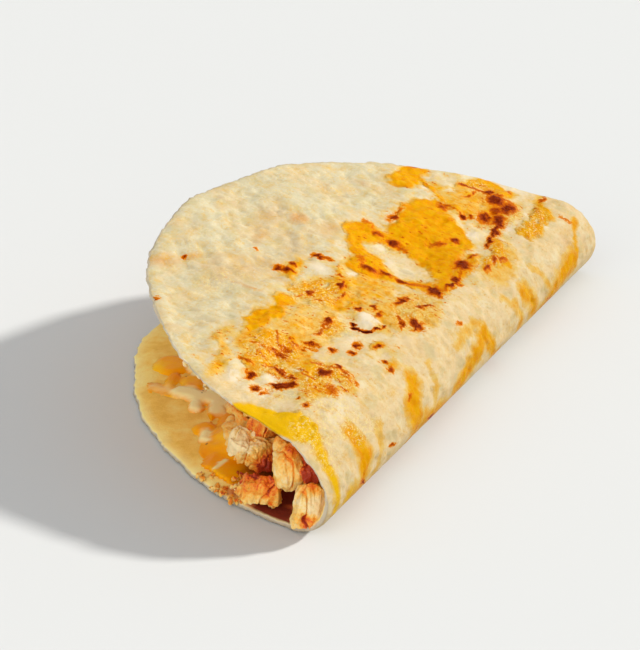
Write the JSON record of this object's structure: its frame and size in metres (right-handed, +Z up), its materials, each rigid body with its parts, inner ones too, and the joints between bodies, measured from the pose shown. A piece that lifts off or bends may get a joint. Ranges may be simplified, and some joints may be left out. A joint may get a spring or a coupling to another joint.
{
  "type": "crispy taco",
  "caption": "Griddled corn tortilla folded over chicken and melted cheese, lying on its side, with cheese browned on to the outside.",
  "frame": {"origin": "under the middle of the whole taco, on the surface it lies on", "axes": "+X along the fold, from the end with the open filling to the other; +Y from the fold to the open rim; +Z up"},
  "size_m": [0.152, 0.0796, 0.0357],
  "materials": {
    "tortilla": "matt, slightly greasy",
    "cheese": "glossy",
    "chicken": "moist"
  },
  "bodies": {
    "root": {"tortilla": "tortilla", "cheese_crust_far": "cheese", "cheese_crust_near": "cheese", "melted_cheese": "cheese", "chicken_piece_1": "chicken", "chicken_piece_2": "chicken", "chicken_piece_3": "chicken", "chicken_piece_4": "chicken", "chicken_piece_5": "chicken", "chicken_piece_6": "chicken", "chicken_filling": "chicken"}
  },
  "joints": []
}
